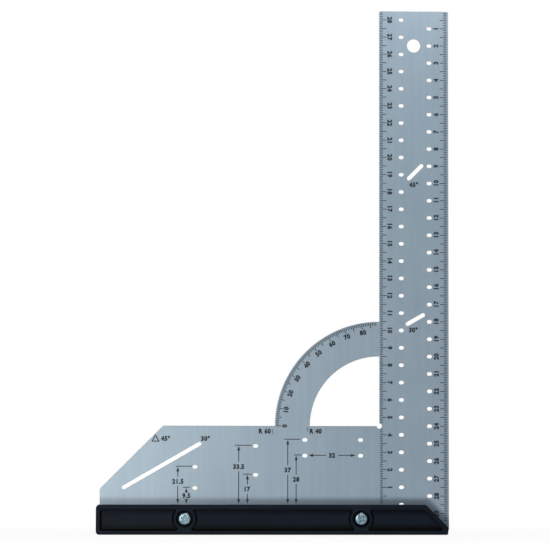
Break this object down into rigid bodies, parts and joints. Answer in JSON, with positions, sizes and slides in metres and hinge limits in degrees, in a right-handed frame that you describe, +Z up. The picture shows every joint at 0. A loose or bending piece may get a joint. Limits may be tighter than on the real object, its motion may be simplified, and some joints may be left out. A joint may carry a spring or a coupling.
{
  "type": "set square",
  "caption": "Flat steel set square with marking slots, an angle arc in its inner corner and a clamped two-part plastic stop along its foot.",
  "frame": {"origin": "middle of the overall box, on the stop's underside, with the square standing upright on its stop", "axes": "+Z up along the blade, +X along the stop towards the blade, -Y the way the marked face and the screw heads look"},
  "size_m": [0.202, 0.014, 0.302],
  "materials": {
    "sheet_steel": "satin, fine grain along the blade",
    "scale_ink": "thin dark print of the scales, numbers and dimension lines, which only the visual model carries",
    "stop_plastic": "fine satin mould texture",
    "zinc_screw": "bright zinc plate",
    "zinc_nut": "bright zinc plate"
  },
  "bodies": {
    "square": {"set_square_sheet": "sheet_steel", "front_stop_half": "stop_plastic"},
    "rear_jaw": {"rear_stop_half": "stop_plastic", "left_clamp_nut": "zinc_nut", "right_clamp_nut": "zinc_nut"},
    "left_screw": {"left_clamp_screw": "zinc_screw"},
    "right_screw": {"right_clamp_screw": "zinc_screw"}
  },
  "joints": [
    {"name": "left_screw_turn", "type": "hinge", "parent": "square", "child": "left_screw", "pos_m": [-0.0506, 0, 0.0091], "axis": [0, -1, 0], "range_deg": [0, 1080]},
    {"name": "right_screw_turn", "type": "hinge", "parent": "square", "child": "right_screw", "pos_m": [0.0502, 0, 0.0091], "axis": [0, -1, 0], "range_deg": [0, 1080]},
    {"name": "clamp_opening", "type": "slide", "parent": "square", "child": "rear_jaw", "axis": [0, 1, 0], "range_m": [0, 0.0021]}
  ],
  "couplings": [
    {"joint": "left_screw_turn", "follows": "clamp_opening", "rad_per_m": 8976},
    {"joint": "right_screw_turn", "follows": "clamp_opening", "rad_per_m": 8976}
  ]
}
